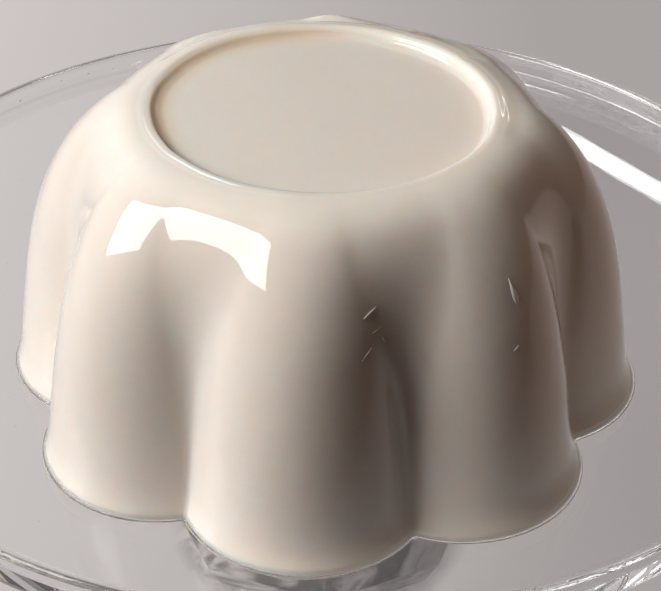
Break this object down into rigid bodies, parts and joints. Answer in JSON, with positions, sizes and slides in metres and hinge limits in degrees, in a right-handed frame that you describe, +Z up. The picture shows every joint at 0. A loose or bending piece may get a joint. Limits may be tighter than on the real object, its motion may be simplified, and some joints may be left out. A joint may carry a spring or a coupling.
{
  "type": "blancmange on a glass cake stand",
  "caption": "Turned-out moulded milk pudding with rounded lobes and a shallow round recess in its top, served on a clear glass footed cake stand with a low raised rim.",
  "frame": {"origin": "middle of the flat under the stand's foot, on the table", "axes": "+Z up along the stand's axis; the blancmange stands a little in front of the plate's middle, towards -Y"},
  "size_m": [0.2834, 0.2834, 0.1733],
  "materials": {
    "pudding": "Wet, glossy, slightly translucent ivory milk pudding.",
    "clear_glass": "Clear, polished, almost colourless table glass."
  },
  "bodies": {
    "root": {"blancmange": "pudding", "cake_stand": "clear_glass"}
  },
  "joints": []
}
